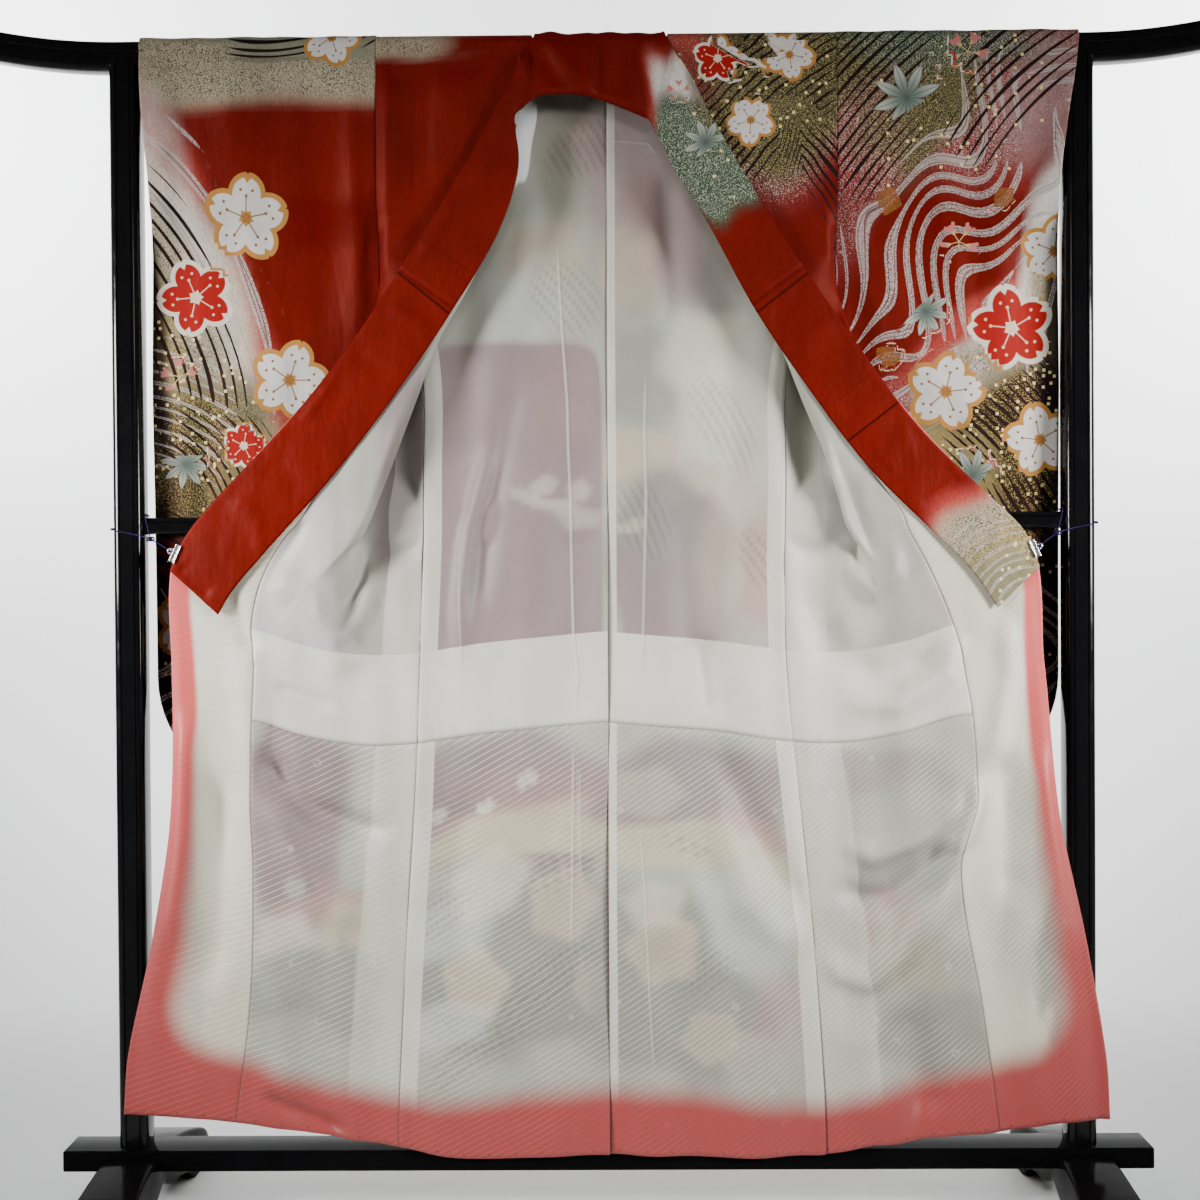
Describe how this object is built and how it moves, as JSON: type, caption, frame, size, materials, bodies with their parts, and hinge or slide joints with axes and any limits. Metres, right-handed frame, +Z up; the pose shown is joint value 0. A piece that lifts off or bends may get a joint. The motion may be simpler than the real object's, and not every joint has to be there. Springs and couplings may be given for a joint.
{
  "type": "furisode on a kimono stand",
  "caption": "Long-sleeved formal silk kimono spread open over a lacquered wooden stand, lining to the front, collar turned back.",
  "frame": {"origin": "on the floor, under the middle of the stand", "axes": "+Z up, +X along the top rail to the viewer's right, +Y towards the garment's back; the opened lining faces -Y"},
  "size_m": [1.84, 0.466, 1.7294],
  "materials": {
    "silk_red": "vermilion figured silk, soft sheen",
    "silk_printed": "painted and embroidered silk crepe on black, red and gold grounds",
    "collar_silk": "vermilion silk collar with gold, green and grey printed ends",
    "lining_silk": "plain ivory lining silk, semi-matt",
    "skirt_lining": "pale skirt lining shaded to rose along hem and edges",
    "lacquered_wood": "black urushi lacquer, high gloss",
    "clip_steel": "bright nickelled steel",
    "tie_cord": "twisted violet silk cord"
  },
  "bodies": {
    "root": {"body_left": "silk_red", "body_right": "silk_red", "okumi_left": "silk_red", "okumi_right": "silk_red", "collar_band": "collar_silk", "collar_cover": "collar_silk", "sleeve_left": "silk_printed", "sleeve_right": "silk_printed", "lining_left": "lining_silk", "lining_right": "lining_silk", "lining_okumi_left": "lining_silk", "lining_okumi_right": "lining_silk", "hakkake_front_left": "skirt_lining", "hakkake_front_right": "skirt_lining", "hakkake_back_left": "skirt_lining", "hakkake_back_right": "skirt_lining", "hakkake_okumi_left": "skirt_lining", "hakkake_okumi_right": "skirt_lining", "top_rail": "lacquered_wood", "post_left": "lacquered_wood", "post_right": "lacquered_wood", "middle_rail": "lacquered_wood", "base_beam": "lacquered_wood", "foot_left": "lacquered_wood", "foot_right": "lacquered_wood", "clip_left": "clip_steel", "clip_right": "clip_steel", "tie_left": "tie_cord", "tie_right": "tie_cord"}
  },
  "joints": []
}
